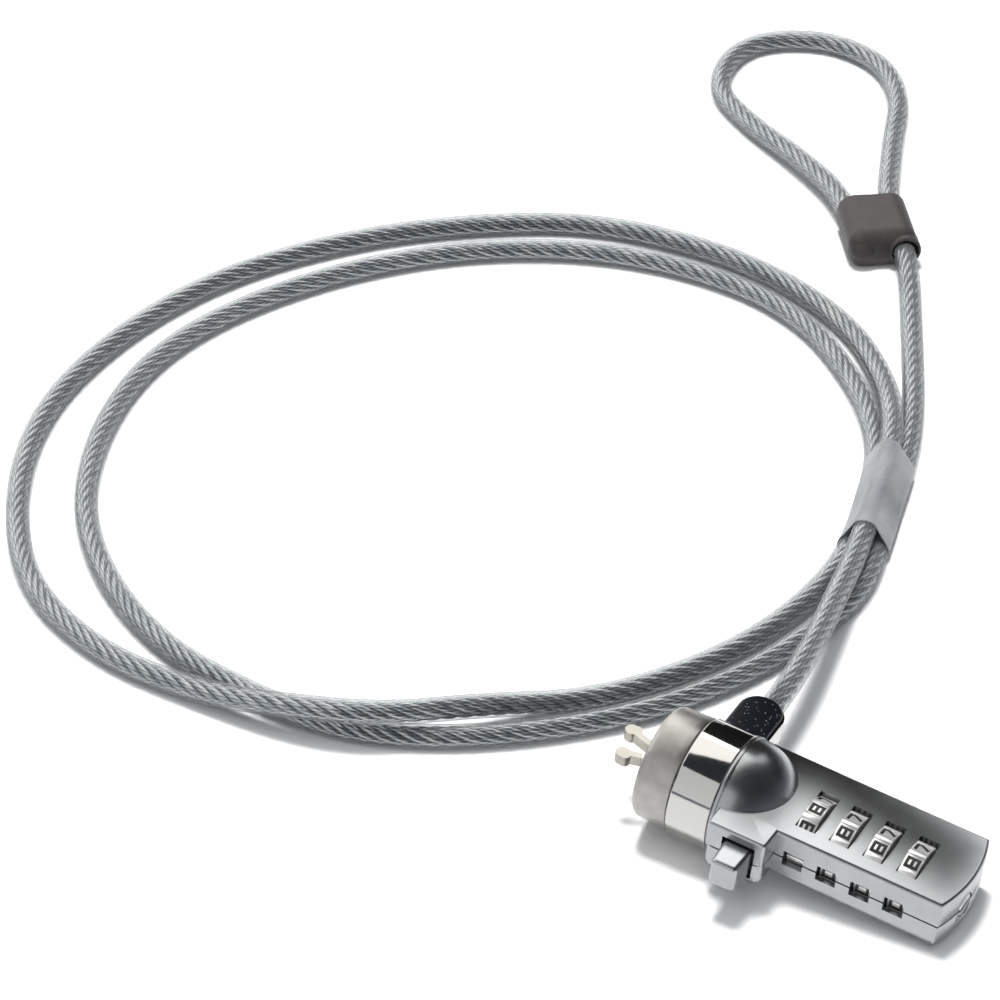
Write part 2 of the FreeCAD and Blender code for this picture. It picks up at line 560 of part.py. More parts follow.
ROUTE = [
    # out of the lug, down to the band and on as the outer coil
    (-17.88, 13.5, 11.2), (-17.9, 25, 11.2), (-18.9, 37, 10.9), (-20.9, 49, 9.8),
    (-23.3, 60.5, 8.6), (-25.6, 72, 7.2), (-28.5, 84, 6.45), (-31.6, 96.5, 6.45),
    (-34.9, 109, 6.45), (-40, 121.5, 6.2), (-48.5, 135, 3.6),
    (-60.5, 148, 2.3), (-77.5, 157, 2.3), (-99.5, 161.5, 2.3), (-125.5, 158.5, 2.3),
    (-147.5, 145.5, 2.3), (-166.5, 128, 2.3), (-182, 103.5, 2.3), (-188.5, 76, 2.3),
    (-187.5, 47.5, 2.3), (-177, 22, 2.3), (-158.5, -1.5, 2.3), (-135, -12, 2.3),
    (-113, -13, 2.8),
    # over the inner coil and back up to the band
    (-92.5, -12.5, 7.2), (-77.5, -7, 7.7), (-66, 6, 5.1), (-52.5, 18.5, 2.3),
    (-42, 32, 2.3), (-34.5, 47, 2.3), (-30.5, 64, 2.3), (-30.1, 80, 2.3),
    (-33.7, 96, 2.3), (-38.2, 111, 2.3), (-45.5, 123.5, 2.3), (-55.5, 134.5, 2.3),
    # the inner coil
    (-69.5, 146, 2.3), (-87.5, 152.5, 2.3), (-110, 152, 2.3), (-131, 144.5, 2.3),
    (-151.5, 129.5, 2.3), (-168.5, 106, 2.3), (-178, 79, 2.3), (-176, 53, 2.3),
    (-164.5, 25.5, 2.3), (-145.5, 6, 2.3), (-124, -5.5, 2.3), (-103.5, -8.5, 2.3),
    (-87, -9.5, 2.3), (-70, -3, 2.3), (-54, 8.5, 2.3), (-40.5, 22.5, 2.3),
    (-30.5, 40, 2.3), (-25.5, 57, 2.3), (-23, 72, 2.3), (-26.7, 87, 2.3),
    (-33.3, 113, 2.3), (-38.5, 128, 2.3), (-46.5, 145, 2.3), (-53.4, 159, 2.6),
    (-60.8, 173.9, 4.3),
    # through the ferrule, round the eye and back into it
    (-74.8, 193.4, 4.3), (-80, 206, 3.4), (-86, 221, 2.6), (-91, 235.5, 2.4),
    (-101.5, 247.5, 2.3), (-117.5, 250, 2.3), (-131.5, 239.5, 2.3), (-129, 220, 2.3),
    (-114.5, 209, 2.5), (-97.5, 200, 3.4), (-82.3, 189.2, 4.3), (-73.8, 177.4, 4.3),
]


def rounded_route(points):
    """Wire of straight runs and tangent arcs, with the arc radii it used."""
    points = [Vector(*p) for p in points]
    runs = [(b - a).Length for a, b in zip(points, points[1:])]
    edges, radii = [], []
    here = points[0]
    for i in range(1, len(points) - 1):
        arriving = (points[i] - points[i - 1]).normalize()
        leaving = (points[i + 1] - points[i]).normalize()
        turn = arriving.getAngle(leaving)
        set_back = 0.45 * min(runs[i - 1], runs[i])
        radius = set_back / math.tan(turn / 2)
        radii.append(radius)
        arc_start = points[i] - arriving * set_back
        arc_end = points[i] + leaving * set_back
        to_centre = (leaving - arriving).normalize()
        arc_middle = points[i] + to_centre * (radius / math.cos(turn / 2) - radius)
        edges.append(Part.LineSegment(here, arc_start).toShape())
        edges.append(Part.Arc(arc_start, arc_middle, arc_end).toShape())
        here = arc_end
    edges.append(Part.LineSegment(here, points[-1]).toShape())
    return Part.Wire(edges), radii


route_wire, route_radii = rounded_route(ROUTE)
cable_radius = size("cable_diameter") / 2
start = Vector(*ROUTE[0])
first_run = Vector(*ROUTE[1]) - start
cable_section = Part.Wire([Part.makeCircle(cable_radius, start, first_run)])
cable_shape = route_wire.makePipeShell([cable_section], True, False)
expected = math.pi * cable_radius ** 2 * route_wire.Length
print(f"cable length {route_wire.Length:.1f} mm, smallest bend radius {min(route_radii):.1f} mm")
print(f"cable volume / (section x length) = {cable_shape.Volume / expected:.4f}")
cable = doc.addObject("Part::Feature", "cable_sweep")
cable.Shape = cable_shape
node("cable", cable, FreeCAD.Placement(shift, FreeCAD.Rotation()))

# ---- crimped ferrule: two bores side by side, the second one blind ----

ferrule_block = span("ferrule_block", ("-sizes.ferrule_width / 2", "sizes.ferrule_width / 2"),
                     ("-7.6", "sizes.ferrule_length / 2"), ("0", "sizes.ferrule_height"))
ferrule_soft = soften("ferrule_soft", ferrule_block, 3.4, lambda p: abs(p.y - 0.4) < 0.01)
ferrule_tail = soften("ferrule_tail", ferrule_soft, 2.6, lambda p: abs(p.y + 7.6) < 0.01)
ferrule_round = soften("ferrule_round", ferrule_tail, 1.1,
                       lambda p: abs(p.y - size("ferrule_length") / 2) < 0.01)
mouth = soften("ferrule_mouth",
               rod("ferrule_mouth_rod", "y", ("sizes.ferrule_spacing", "-sizes.ferrule_length / 2", "4.3"),
                   "3.4", "3.35"),
               0.5, lambda p: p.y < -8)
bump = soften("ferrule_bump",
              rod("ferrule_bump_rod", "y", ("-sizes.ferrule_spacing + 0.15", "-8.1", "4.3"), "4", "2.9"),
              2.3, lambda p: p.y < -8)
ferrule = cut("ferrule_shape", join("ferrule_body", [ferrule_round, mouth, bump]), [
    rod("ferrule_bore_through", "y", ("sizes.ferrule_spacing", "-12", "4.3"), "24", "2.35"),
    rod("ferrule_bore_mouth", "y", ("sizes.ferrule_spacing", "-12", "4.3"), "5.6", "2.75"),
    rod("ferrule_bore_blind", "y", ("-sizes.ferrule_spacing", "-5.5", "4.3"), "18", "2.35"),
    rod("ferrule_saddle", "z", ("0", "sizes.ferrule_length / 2 + 4.9", "-1"), "11", "5.8"),
])
FERRULE_SEAT = FreeCAD.Placement(
    Vector(-71.3, 181.2, 0) + shift, FreeCAD.Rotation(Vector(0, 0, 1), 35.8))
node("ferrule", ferrule, FERRULE_SEAT)

# ---- clear band round the three strands ----

band_half = size("band_length") / 2
band_block = span("band_block", ("-sizes.band_width / 2", "sizes.band_width / 2"),
                  ("-sizes.band_length / 2", "sizes.band_length / 2"),
                  ("0", "sizes.band_height"))
band_outer = soften("band_outer", band_block, 3.9, lambda p: abs(p.y) < 0.01)
band_room = span("band_room",
                 ("-sizes.band_width / 2 + sizes.band_wall", "sizes.band_width / 2 - sizes.band_wall"),
                 ("-sizes.band_length", "sizes.band_length"),
                 ("sizes.band_wall", "sizes.band_height - sizes.band_wall"))
band_inner = soften("band_inner", band_room, 3.65, lambda p: abs(p.y) < 0.01)
band = cut("band_shape", band_outer, [band_inner])
BAND_SEAT = FreeCAD.Placement(
    Vector(-31.7, 96.75, 0) + shift, FreeCAD.Rotation(Vector(0, 0, 1), 14.06))
node("tie_band", band, BAND_SEAT)

# ---- check every object, then write one STEP file for each node ----

doc.recompute()
for obj in doc.Objects:
    if "Invalid" in obj.State or "Error" in obj.State:
        raise RuntimeError(f"{obj.Name} did not build")
head_box = FreeCAD.BoundBox()
for obj in nodes:
    if obj.Shape.isNull() or not obj.Shape.isValid():
        raise RuntimeError(f"{obj.Label} has no valid shape")
    if obj.Label not in ("cable", "ferrule", "tie_band"):
        head_box.add(obj.Shape.BoundBox)
    obj.Shape.exportStep(f"parts/{obj.Label}.step")
    print(f"{obj.Label}: {len(obj.Shape.Solids)} solids, {obj.Shape.Volume:.1f} mm3")
print(f"head without cable: x {head_box.XMin:.2f} to {head_box.XMax:.2f}, "
      f"y {head_box.YMin:.2f} to {head_box.YMax:.2f}, z {head_box.ZMin:.3f} to {head_box.ZMax:.2f}")
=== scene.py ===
"""Looks of the laptop cable lock: camera, cable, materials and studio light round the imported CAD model."""
import math

import bpy
from mathutils import Matrix, Vector


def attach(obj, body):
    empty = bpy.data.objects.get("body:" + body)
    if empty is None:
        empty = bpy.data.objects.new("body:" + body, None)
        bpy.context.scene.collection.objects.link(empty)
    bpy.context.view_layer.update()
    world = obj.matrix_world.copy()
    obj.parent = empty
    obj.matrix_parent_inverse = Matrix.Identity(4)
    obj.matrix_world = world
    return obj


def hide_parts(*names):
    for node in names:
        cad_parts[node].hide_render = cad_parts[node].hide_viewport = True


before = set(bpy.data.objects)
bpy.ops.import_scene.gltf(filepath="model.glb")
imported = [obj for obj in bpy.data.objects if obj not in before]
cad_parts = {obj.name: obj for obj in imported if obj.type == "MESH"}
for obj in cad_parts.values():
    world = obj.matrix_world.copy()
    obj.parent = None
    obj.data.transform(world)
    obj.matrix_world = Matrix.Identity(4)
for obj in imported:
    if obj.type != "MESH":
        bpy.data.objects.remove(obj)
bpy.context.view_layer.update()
MM = 0.001

# ---- the head's own axes: barrel along X, claws at -X, parting plane at z = 0 ----

TILT = math.radians(6.5)
SHIFT = Vector((2.8, -1.4, 0.0))
WHEEL_Y, WHEEL_RADIUS, WHEEL_FIRST, WHEEL_PITCH = -1.35, 6.65, 1.88, 6.23
CELL_DEPTH = 0.2
SLAB_TOP = 5.05
RIM_RADIUS, RIM_X = 10.75, -12.9
LIFT = RIM_RADIUS * math.cos(TILT) + RIM_X * math.sin(TILT)
SEAT = Matrix.Translation((SHIFT + Vector((0, 0, LIFT))) * MM) @ Matrix.Rotation(TILT, 4, "Y")


def head_point(x, y, z):
    """Point in the row frame, in metres, from millimetres on the head's own axes."""
    return SEAT @ (Vector((x, y, z)) * MM)


# ---- camera: stands in front and to the right, looking down on the whole cable ----

camera = bpy.data.objects.new("Camera", bpy.data.cameras.new("Camera"))
bpy.context.scene.collection.objects.link(camera)
CAMERA_PLACE = Vector((217.85, -495.02, 472.9))
LOOK_DOWN, LOOK_ROUND = 36.3, 29.22
camera.location = (CAMERA_PLACE + SHIFT) * MM
camera.rotation_euler = (math.radians(90 - LOOK_DOWN), 0, math.radians(LOOK_ROUND))
camera.data.lens = 151.45
camera.data.sensor_width = 36
camera.data.clip_start = 0.01
bpy.context.scene.camera = camera

# ---- shader helpers ----


class Shader:
    """A material under construction: its nodes, links and Principled shader."""

    def __init__(self, name):
        self.material = bpy.data.materials.new(name)
        self.material.use_nodes = True
        self.tree = self.material.node_tree
        self.surface = self.tree.nodes["Principled BSDF"]
        self.output = self.tree.nodes["Material Output"]

    def node(self, kind, **settings):
        """New node with its properties set."""
        made = self.tree.nodes.new(kind)
        for key, value in settings.items():
            setattr(made, key, value)
        return made

    def link(self, source, target):
        self.tree.links.new(source, target)

    def set(self, **values):
        """Set sockets of the Principled shader by name, with _ for a space."""
        for key, value in values.items():
            self.surface.inputs[key.replace("_", " ")].default_value = value

    def place(self, scale):
        """Object coordinates, scaled per axis."""
        coords = self.node("ShaderNodeTexCoord")
        mapping = self.node("ShaderNodeMapping")
        mapping.inputs["Scale"].default_value = scale
        self.link(coords.outputs["Object"], mapping.inputs["Vector"])
        return mapping.outputs["Vector"]

    def noise(self, where, scale, detail=4.0, roughness=0.6):
        """Noise factor at the given coordinates."""
        made = self.node("ShaderNodeTexNoise")
        made.inputs["Scale"].default_value = scale
        made.inputs["Detail"].default_value = detail
        made.inputs["Roughness"].default_value = roughness
        self.link(where, made.inputs["Vector"])
        return made.outputs["Fac"]

    def ramp(self, factor, stops):
        """Colour ramp with (position, colour) stops."""
        made = self.node("ShaderNodeValToRGB")
        band = made.color_ramp
        while len(band.elements) < len(stops):
            band.elements.new(0.5)
        for element, (position, colour) in zip(band.elements, stops):
            element.position = position
            element.color = (*colour, 1)
        self.link(factor, made.inputs["Fac"])
        return made.outputs["Color"]

    def range(self, factor, low, high):
        """Factor stretched over low to high."""
        made = self.node("ShaderNodeMapRange")
        made.inputs["To Min"].default_value = low
        made.inputs["To Max"].default_value = high
        self.link(factor, made.inputs["Value"])
        return made.outputs["Result"]

    def bump(self, height, strength, distance):
        """Bump the surface by a height."""
        made = self.node("ShaderNodeBump")
        made.inputs["Strength"].default_value = strength
        made.inputs["Distance"].default_value = distance
        self.link(height, made.inputs["Height"])
        self.link(made.outputs["Normal"], self.surface.inputs["Normal"])


def satin_metal(name, dark, light, rough_low, rough_high, grain=0.00001, metallic=1.0):
    """Cast or turned metal with faint blotches and a fine grain."""
    s = Shader(name)
    where = s.place((1, 1, 1))
    blotch = s.noise(where, 260, 5, 0.65)
    fine = s.noise(where, 4000, 2, 0.5)
    s.link(s.ramp(blotch, [(0.3, dark), (0.7, light)]), s.surface.inputs["Base Color"])
    s.link(s.range(blotch, rough_low, rough_high), s.surface.inputs["Roughness"])
    s.set(Metallic=metallic)
    s.bump(fine, 0.15, grain)
    return s.material


def plain_metal(name, colour, roughness):
    """Hidden or small steel part with a light grain."""
    s = Shader(name)
    fine = s.noise(s.place((1, 1, 1)), 3000, 3, 0.5)
    s.set(Base_Color=(*colour, 1), Metallic=1.0)
    s.link(s.range(fine, roughness - 0.05, roughness + 0.08), s.surface.inputs["Roughness"])
    s.bump(fine, 0.15, 0.00002)
    return s.material


casing_metal = satin_metal("casing_metal", (0.315, 0.323, 0.335), (0.358, 0.366, 0.375), 0.26, 0.32)
ring_metal = satin_metal("ring_metal", (0.275, 0.268, 0.256), (0.365, 0.356, 0.340), 0.32, 0.44, 0.00002)
wheel_metal = satin_metal("wheel_metal", (0.60, 0.60, 0.59), (0.72, 0.72, 0.71), 0.28, 0.38, metallic=0.75)
claw_metal = satin_metal("claw_metal", (0.28, 0.268, 0.238), (0.375, 0.362, 0.322), 0.30, 0.42)
hidden_steel = plain_metal("hidden_steel", (0.45, 0.45, 0.46), 0.35)
hub_metal = plain_metal("hub_metal", (0.60, 0.47, 0.24), 0.35)
screw_steel = plain_metal("screw_steel", (0.50, 0.50, 0.51), 0.28)


def chrome_material():
    """Polished chrome with a slight waviness."""
    s = Shader("collar_chrome")
    where = s.place((1, 1, 1))
    wave = s.noise(where, 180, 2, 0.4)
    s.set(Base_Color=(0.46, 0.455, 0.44, 1), Metallic=1.0)
    s.link(s.range(wave, 0.05, 0.11), s.surface.inputs["Roughness"])
    s.bump(wave, 0.12, 0.0002)
    return s.material


def boot_material():
    """Black moulding with a sand texture and a few bright specks."""
    s = Shader("boot_black")
    where = s.place((1, 1, 1))
    sand = s.noise(where, 2600, 3, 0.6)
    specks = s.node("ShaderNodeTexVoronoi")
    specks.inputs["Scale"].default_value = 1500
    s.link(where, specks.inputs["Vector"])
    s.link(s.ramp(specks.outputs["Distance"], [(0.10, (0.35, 0.37, 0.40)), (0.16, (0.004, 0.0045, 0.007))]),
           s.surface.inputs["Base Color"])
    s.set(Roughness=0.42, Specular_IOR_Level=0.3)
    s.bump(sand, 0.35, 0.0002)
    return s.material


def number_material():
    """Matt black paint."""
    s = Shader("number_paint")
    fine = s.noise(s.place((1, 1, 1)), 4000, 2, 0.5)
    s.set(Base_Color=(0.008, 0.008, 0.009, 1))
    s.link(s.range(fine, 0.35, 0.55), s.surface.inputs["Roughness"])
    return s.material


# scale at which the wave texture's bands are one unit apart
WAVE_ONE_UNIT = 0.314159


def strand_material():
    """Galvanised wires: six to a strand, wound against the lay so that they run along the cable."""
    s = Shader("wire_rope")
    girth = s.node("ShaderNodeUVMap")
    wires = s.node("ShaderNodeTexWave", wave_type="BANDS", bands_direction="X", wave_profile="SIN")
    wires.inputs["Scale"].default_value = WAVE_ONE_UNIT
    wires.inputs["Distortion"].default_value = 0.6
    wires.inputs["Detail"].default_value = 2.0
    wires.inputs["Detail Scale"].default_value = 3.0
    s.link(girth.outputs["UV"], wires.inputs["Vector"])
    tone = s.noise(s.place((1, 1, 1)), 420, 3, 0.6)
    metal = s.ramp(tone, [(0.35, (0.345, 0.37, 0.395)), (0.65, (0.545, 0.55, 0.54))])
    # Painted shade: the base colour is darkened in the grooves between the wires, with a bluish tint.
    groove_shade = s.ramp(wires.outputs["Fac"], [(0.0, (0.34, 0.36, 0.39)), (0.5, (1, 1, 1))])
    mix = s.node("ShaderNodeMix", data_type="RGBA", blend_type="MULTIPLY")
    mix.inputs["Factor"].default_value = 1.0
    s.link(metal, mix.inputs["A"])
    s.link(groove_shade, mix.inputs["B"])
    s.link(mix.outputs["Result"], s.surface.inputs["Base Color"])
    s.set(Metallic=0.9, Roughness=0.28)
    s.bump(wires.outputs["Fac"], 0.45, 0.00006)
    return s.material


def clear_material(name, tint, haze, gloss_roughness, streaks=None):
    """Clear soft plastic: mostly see-through, with a sheen that grows towards its edges."""
    s = Shader(name)
    clear = s.node("ShaderNodeBsdfTransparent")
    clear.inputs["Color"].default_value = (*tint, 1)
    s.set(Base_Color=(0.245, 0.252, 0.255, 1), Roughness=gloss_roughness, Specular_IOR_Level=0.35)
    edge = s.node("ShaderNodeLayerWeight")
    edge.inputs["Blend"].default_value = 0.35
    amount = s.node("ShaderNodeMapRange")
    amount.inputs["To Min"].default_value = haze[0]
    amount.inputs["To Max"].default_value = haze[1]
    s.link(edge.outputs["Facing"], amount.inputs["Value"])
    factor = amount.outputs["Result"]
    if streaks:
        patch = s.noise(s.place(streaks), 1, 4, 0.55)
        extra = s.node("ShaderNodeMath", operation="MULTIPLY_ADD", use_clamp=True)
        s.link(patch, extra.inputs[0])
        extra.inputs[1].default_value = 0.55
        s.link(factor, extra.inputs[2])
        factor = extra.outputs["Value"]
        s.link(s.ramp(patch, [(0.35, (0.20, 0.215, 0.23)), (0.65, (0.32, 0.325, 0.33))]),
               s.surface.inputs["Base Color"])
        s.bump(patch, 0.4, 0.0006)
    mix = s.node("ShaderNodeMixShader")
    s.link(factor, mix.inputs["Fac"])
    s.link(clear.outputs["BSDF"], mix.inputs[1])
    s.link(s.surface.outputs["BSDF"], mix.inputs[2])
    s.link(mix.outputs["Shader"], s.output.inputs["Surface"])
    return s.material


def ferrule_material():
    """Dark die-cast fitting under a satin lacquer."""
    s = Shader("ferrule_metal")
    blotch = s.noise(s.place((1, 1, 1)), 300, 4, 0.6)
    fine = s.noise(s.place((1, 1, 1)), 5000, 2, 0.5)
    s.link(s.ramp(blotch, [(0.3, (0.036, 0.032, 0.032)), (0.7, (0.050, 0.045, 0.044))]),
           s.surface.inputs["Base Color"])
    s.link(s.range(blotch, 0.42, 0.52), s.surface.inputs["Roughness"])
    s.set(Specular_IOR_Level=0.2)
    s.bump(fine, 0.25, 0.00003)
    return s.material


collar_chrome = chrome_material()
boot_black = boot_material()
number_paint = number_material()
ferrule_metal = ferrule_material()
wire_rope = strand_material()
jacket_clear = clear_material("cable_jacket", (0.93, 0.94, 0.945), (0.04, 0.70), 0.22)
band_film = clear_material("band_film", (0.80, 0.83, 0.86), (0.28, 0.80), 0.42, (150, 60, 60))

# ---- CAD nodes: material, smooth shading and softly broken edges ----

NODE_LOOKS = {
    "upper_casing": (casing_metal, 0.18), "lower_casing": (casing_metal, 0.18),
    "push_button": (casing_metal, 0.0), "front_ring": (ring_metal, 0.1),
    "swivel_collar": (collar_chrome, 0.0), "cable_boot": (boot_black, 0.0),
    "claw_left": (claw_metal, 0.15), "claw_right": (claw_metal, 0.15),
    "ferrule": (ferrule_metal, 0.2), "reset_screw": (screw_steel, 0.08),
    "casing_screws": (screw_steel, 0.08),
}
for n in range(1, 5):
    NODE_LOOKS[f"number_wheel_{n}"] = (wheel_metal, 0.06)
    NODE_LOOKS[f"clutch_hub_{n}"] = (hub_metal, 0.05)

for name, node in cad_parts.items():
    material, edge = NODE_LOOKS.get(name, (hidden_steel, 0.0))
    node.data.materials.clear()
    node.data.materials.append(material)
    weld = node.modifiers.new("weld", "WELD")
    weld.merge_threshold = 0.000002
    if edge:
        bevel = node.modifiers.new("edges", "BEVEL")
        bevel.width = edge * MM
        bevel.segments = 2
        bevel.limit_method = "ANGLE"
        bevel.angle_limit = math.radians(40)
    with bpy.context.temp_override(object=node, active_object=node, selected_objects=[node],
                                   selected_editable_objects=[node]):
        bpy.ops.object.shade_auto_smooth(angle=math.radians(35))


def mesh_piece(name, vertices, faces, material, body, smooth=True):
    """New mesh object in the row frame, riding on a body."""
    mesh = bpy.data.meshes.new(name)
    mesh.from_pydata([tuple(v) for v in vertices], [], faces)
    mesh.update()
    piece = bpy.data.objects.new(name, mesh)
    bpy.context.scene.collection.objects.link(piece)
    mesh.materials.append(material)
    if smooth:
        mesh.polygons.foreach_set("use_smooth", [True] * len(mesh.polygons))
    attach(piece, body)
    return piece


# ---- the cable's line: the same route as the CAD model, in millimetres ----

ROUTE = [
    # out of the lug, down to the band and on as the outer coil
    (-17.88, 13.5, 11.2), (-17.9, 25, 11.2), (-18.9, 37, 10.9), (-20.9, 49, 9.8),
    (-23.3, 60.5, 8.6), (-25.6, 72, 7.2), (-28.5, 84, 6.45), (-31.6, 96.5, 6.45),
    (-34.9, 109, 6.45), (-40, 121.5, 6.2), (-48.5, 135, 3.6),
    (-60.5, 148, 2.3), (-77.5, 157, 2.3), (-99.5, 161.5, 2.3), (-125.5, 158.5, 2.3),
    (-147.5, 145.5, 2.3), (-166.5, 128, 2.3), (-182, 103.5, 2.3), (-188.5, 76, 2.3),
    (-187.5, 47.5, 2.3), (-177, 22, 2.3), (-158.5, -1.5, 2.3), (-135, -12, 2.3),
    (-113, -13, 2.8),
    # over the inner coil and back up to the band
    (-92.5, -12.5, 7.2), (-77.5, -7, 7.7), (-66, 6, 5.1), (-52.5, 18.5, 2.3),
    (-42, 32, 2.3), (-34.5, 47, 2.3), (-30.5, 64, 2.3), (-30.1, 80, 2.3),
    (-33.7, 96, 2.3), (-38.2, 111, 2.3), (-45.5, 123.5, 2.3), (-55.5, 134.5, 2.3),
    # the inner coil
    (-69.5, 146, 2.3), (-87.5, 152.5, 2.3), (-110, 152, 2.3), (-131, 144.5, 2.3),
    (-151.5, 129.5, 2.3), (-168.5, 106, 2.3), (-178, 79, 2.3), (-176, 53, 2.3),
    (-164.5, 25.5, 2.3), (-145.5, 6, 2.3), (-124, -5.5, 2.3), (-103.5, -8.5, 2.3),
    (-87, -9.5, 2.3), (-70, -3, 2.3), (-54, 8.5, 2.3), (-40.5, 22.5, 2.3),
    (-30.5, 40, 2.3), (-25.5, 57, 2.3), (-23, 72, 2.3), (-26.7, 87, 2.3),
    (-33.3, 113, 2.3), (-38.5, 128, 2.3), (-46.5, 145, 2.3), (-53.4, 159, 2.6),
    (-60.8, 173.9, 4.3),
    # through the ferrule, round the eye and back into it
    (-74.8, 193.4, 4.3), (-80, 206, 3.4), (-86, 221, 2.6), (-91, 235.5, 2.4),
    (-101.5, 247.5, 2.3), (-117.5, 250, 2.3), (-131.5, 239.5, 2.3), (-129, 220, 2.3),
    (-114.5, 209, 2.5), (-97.5, 200, 3.4), (-82.3, 189.2, 4.3), (-73.8, 177.4, 4.3),
]
CABLE_DIAMETER = 4.5 * MM


def route_curve(name, bevel):
    """NURBS curve along the route."""
    data = bpy.data.curves.new(name, "CURVE")
    data.dimensions = "3D"
    spline = data.splines.new("NURBS")
    spline.points.add(len(ROUTE) - 1)
    for point, place in zip(spline.points, ROUTE):
        point.co = (*((Vector(place) + SHIFT) * MM), 1)
    spline.order_u = 3
    spline.use_endpoint_u = True
    spline.resolution_u = 10
    data.bevel_depth = bevel
    data.bevel_resolution = 6
    data.use_fill_caps = True
    piece = bpy.data.objects.new(name, data)
    bpy.context.scene.collection.objects.link(piece)
    return piece


def centreline():
    """Points along the route, evaluated from a bare copy of the curve."""
    bare = route_curve("bare_route", 0.0)
    mesh = bpy.data.meshes.new_from_object(bare)
    points = [v.co.copy() for v in mesh.vertices]
    bpy.data.meshes.remove(mesh)
    bpy.data.objects.remove(bare)
    return points


def even_steps(points, step):
    """The same line with a point at every step of its length."""
    result, left = [points[0]], step
    for a, b in zip(points, points[1:]):
        gap = (b - a).length
        while gap >= left:
            a = a.lerp(b, left / gap)
            gap -= left
            left = step
            result.append(a)
        left -= gap
    return result


raw_line = centreline()
LINE_STEP = 0.9
line = even_steps(raw_line, LINE_STEP * MM)


def carried_frames(points):
    """A pair of cross directions at each point, carried along without twist."""
    frames = []
    side = Vector((1, 0, 0))
    for n, point in enumerate(points):
        ahead = points[min(n + 1, len(points) - 1)] - points[max(n - 1, 0)]
        ahead.normalize()
        side = (side - ahead * side.dot(ahead)).normalized()
        frames.append((side.copy(), ahead.cross(side)))
    return frames


def strand_tube(vertices, faces, coords, centres, frames, radius, sides=8):
    """Tube round a line of centres, with girth and length as texture coordinates."""
    base = len(vertices)
    for n, (centre, (u, v)) in enumerate(zip(centres, frames)):
        for k in range(sides):
            turn = 2 * math.pi * k / sides
            vertices.append(centre + (u * math.cos(turn) + v * math.sin(turn)) * radius)
    for n in range(len(centres) - 1):
        for k in range(sides):
            after = (k + 1) % sides
            faces.append((base + n * sides + k, base + n * sides + after,
                          base + (n + 1) * sides + after, base + (n + 1) * sides + k))
            coords.append([(k / sides, n), ((k + 1) / sides, n),
                           ((k + 1) / sides, n + 1), (k / sides, n + 1)])
    faces.append(tuple(base + k for k in reversed(range(sides))))
    coords.append([(0, 0)] * sides)
    last = base + (len(centres) - 1) * sides
    faces.append(tuple(last + k for k in range(sides)))
    coords.append([(0, 0)] * sides)


# one turn of a strand round the core and of a wire round its strand, in millimetres
ROPE_LAY, WIRE_LAY, WIRES = 19, 9.0, 6
STRAND_RADIUS = 0.62 * MM
STRAND_ORBIT = 1.24 * MM
STRANDS = 6


def wire_rope_piece():
    """Six strands wound round a core strand, all along the cable."""
    vertices, faces, coords = [], [], []
    frames = carried_frames(line)
    strand_tube(vertices, faces, coords, line, frames, STRAND_RADIUS)
    for strand in range(STRANDS):
        centres = []
        for n, (point, (u, v)) in enumerate(zip(line, frames)):
            turn = 2 * math.pi * (strand / STRANDS + n * LINE_STEP / ROPE_LAY)
            centres.append(point + (u * math.cos(turn) + v * math.sin(turn)) * STRAND_ORBIT)
        strand_tube(vertices, faces, coords, centres, carried_frames(centres), STRAND_RADIUS)
    piece = mesh_piece("cable_strands", vertices, faces, wire_rope, "collar")
    layer = piece.data.uv_layers.new(name="UVMap")
    flat = [c for face in coords for c in face]
    for loop, (girth, along) in zip(layer.data, flat):
        loop.uv = (WIRES * (girth + along * LINE_STEP / WIRE_LAY), along * LINE_STEP)
    return piece


jacket = route_curve("cable_jacket_tube", CABLE_DIAMETER / 2)
jacket.data.materials.append(jacket_clear)
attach(jacket, "collar")
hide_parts("cable")
strands = wire_rope_piece()

# ---- clear band: a film wrapped tight round the three strands ----

BAND_MIDDLE = (Vector((-31.7, 96.75, 0)) + SHIFT) * MM
BAND_AIM = Vector((-0.2429, 0.9700, 0))
BAND_ACROSS = Vector((0.9700, 0.2429, 0))
BAND_HALF = 13.5 * MM
BAND_GAP, BAND_WALL, BAND_SLACK = 0.12 * MM, 0.1 * MM, 0.05 * MM
BAND_REACH = 12 * MM
FLOOR_GAP = 0.1 * MM


def strand_places(along):
    """Where the three passes of the cable cross the band's own plane: (across, up) each."""
    found = []
    for a, b in zip(line, line[1:]):
        before = (a - BAND_MIDDLE).dot(BAND_AIM) - along
        after = (b - BAND_MIDDLE).dot(BAND_AIM) - along
        if before * after > 0 or before == after:
            continue
        hit = a.lerp(b, before / (before - after))
        across = (hit - BAND_MIDDLE).dot(BAND_ACROSS)
        if abs(across) < BAND_REACH:
            found.append((across, hit.z))
    return found


